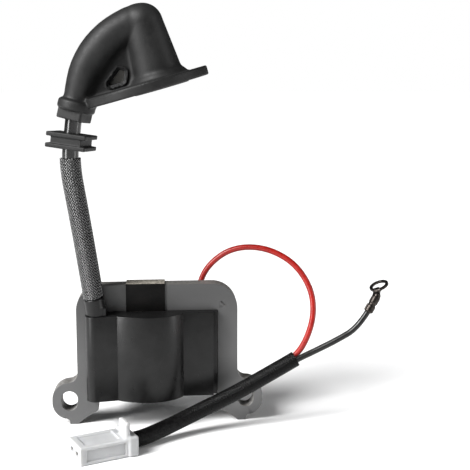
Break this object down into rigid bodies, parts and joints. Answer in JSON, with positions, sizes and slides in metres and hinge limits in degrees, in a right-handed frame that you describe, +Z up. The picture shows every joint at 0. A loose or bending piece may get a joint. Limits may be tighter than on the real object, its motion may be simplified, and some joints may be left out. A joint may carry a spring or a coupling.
{
  "type": "ignition coil",
  "caption": "Potted ignition coil on a slotted laminated core, with a braided high-tension lead, elbow plug boot and a low-tension pair with a connector and a ring terminal.",
  "frame": {"origin": "middle of the coil's base, on the surface that the two pole tips stand on", "axes": "+X along the line of the two mounting slots, -Y out of the front with the winding bulge, +Z up from the pole tips to the yoke"},
  "size_m": [0.107, 0.0489, 0.1311],
  "materials": {
    "core_steel": "grey varnished stamped steel, satin, lamination lines on every edge",
    "strap": "black varnished band, rough on top",
    "case": "satin black moulded plastic, soft reflections",
    "resin": "cast black epoxy, slightly uneven",
    "bobbin": "natural moulded plastic",
    "copper": "enamelled copper wire",
    "board": "glass-fibre board",
    "component": "moulded component body",
    "component_tan": "dipped component body",
    "brass": "bright tinned brass",
    "lead_jacket": "glossy black ignition cable",
    "braid": null,
    "rubber": "matt black moulded rubber with fine grain",
    "terminal": "dark tinned steel",
    "red_wire": "red insulated wire, slightly glossy",
    "black_wire": "black insulated wire, slightly glossy",
    "sleeve": "black flexible sleeve, fine ribs",
    "nylon": "translucent white nylon"
  },
  "bodies": {
    "coil": {"core_laminations": "core_steel", "yoke_strap": "strap", "housing_shell": "case", "potting_resin": "resin", "primary_bobbin": "bobbin", "primary_winding": "copper", "secondary_bobbin": "bobbin", "secondary_winding": "copper", "circuit_board": "board", "power_transistor": "component", "storage_capacitor": "component_tan", "trigger_diode": "component", "timing_resistors": "component", "lead_ferrule": "case", "ht_output_pin": "brass", "lead_insulation": "lead_jacket", "lead_conductor": "copper", "braided_sleeve": "braid", "red_primary_wire": "red_wire", "ground_wire": "black_wire", "wire_sleeve": "sleeve", "connector_housing": "nylon", "connector_contacts": "brass", "ring_terminal": "terminal"},
    "grommet": {"shroud_grommet": "rubber"},
    "boot": {"plug_boot": "rubber", "plug_terminal_clip": "terminal"}
  },
  "joints": [
    {"name": "grommet_slide", "type": "slide", "parent": "coil", "child": "grommet", "axis": [0.1266, 0, 0.9919], "range_m": [0, 0.003]},
    {"name": "boot_twist", "type": "hinge", "parent": "coil", "child": "boot", "pos_m": [-0.0247, -0.0064, 0.0932], "axis": [0.1183, 0, 0.993], "range_deg": [-60, 60]}
  ]
}
